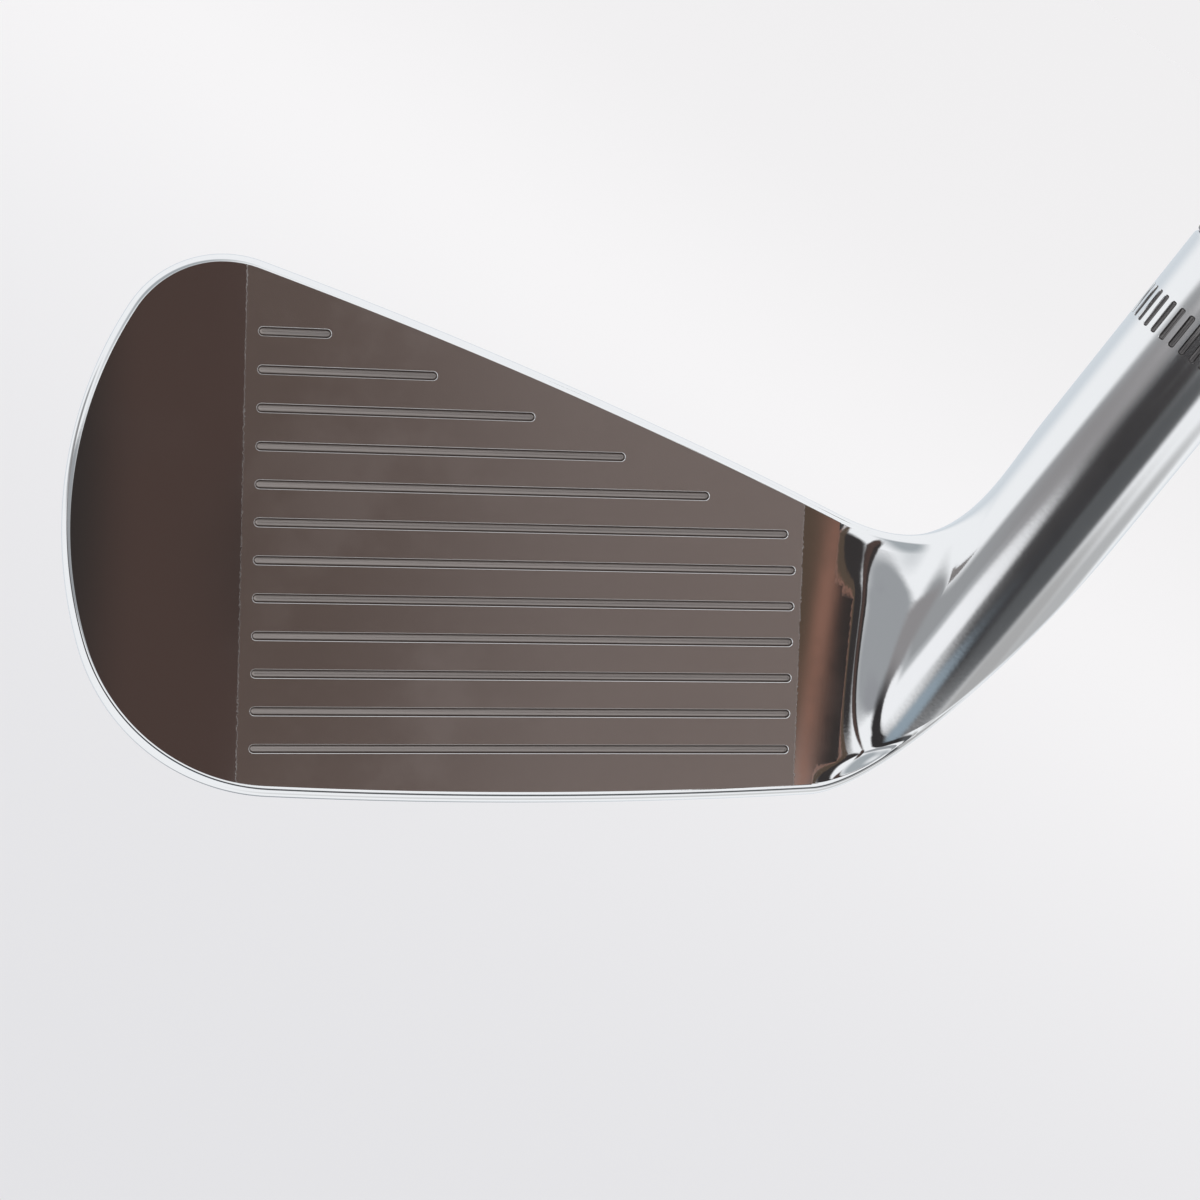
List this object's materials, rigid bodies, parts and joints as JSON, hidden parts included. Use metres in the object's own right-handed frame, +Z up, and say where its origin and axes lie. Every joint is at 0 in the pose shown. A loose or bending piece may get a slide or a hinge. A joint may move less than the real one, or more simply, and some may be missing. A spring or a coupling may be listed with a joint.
{
  "type": "iron golf club",
  "caption": "Right-handed five-iron: chromed steel head with a blasted, grooved face and a cavity back, black ferrule, stepped steel shaft and rubber grip.",
  "frame": {"origin": "on the shaft axis, in the middle of the highest step of the shaft, where a rack's clip holds the club", "axes": "+Z up the shaft towards the grip cap, so the club hangs with its head down; the toe of the head points to -X and the hitting face looks towards -Y"},
  "size_m": [0.1023, 0.0345, 0.9947],
  "materials": {
    "head_steel": "polished chrome, with a sand-blasted hitting area between polished toe and heel",
    "tungsten": "ground flush",
    "pad": "matt",
    "badge": "satin, bare of any marking",
    "ferrule": "polished black",
    "shaft_steel": "bright chrome",
    "epoxy": "cured resin",
    "brass": "turned",
    "tape": "double-sided masking tape",
    "grip_rubber": "moulded rubber"
  },
  "bodies": {
    "root": {"head_body": "head_steel", "toe_weight": "tungsten", "damping_pad": "pad", "cavity_plate": "badge", "ferrule": "ferrule", "shaft": "shaft_steel", "epoxy_sleeve": "epoxy", "tip_weight": "brass", "grip_tape": "tape", "grip_sleeve": "grip_rubber", "grip_cap": "grip_rubber"}
  },
  "joints": []
}
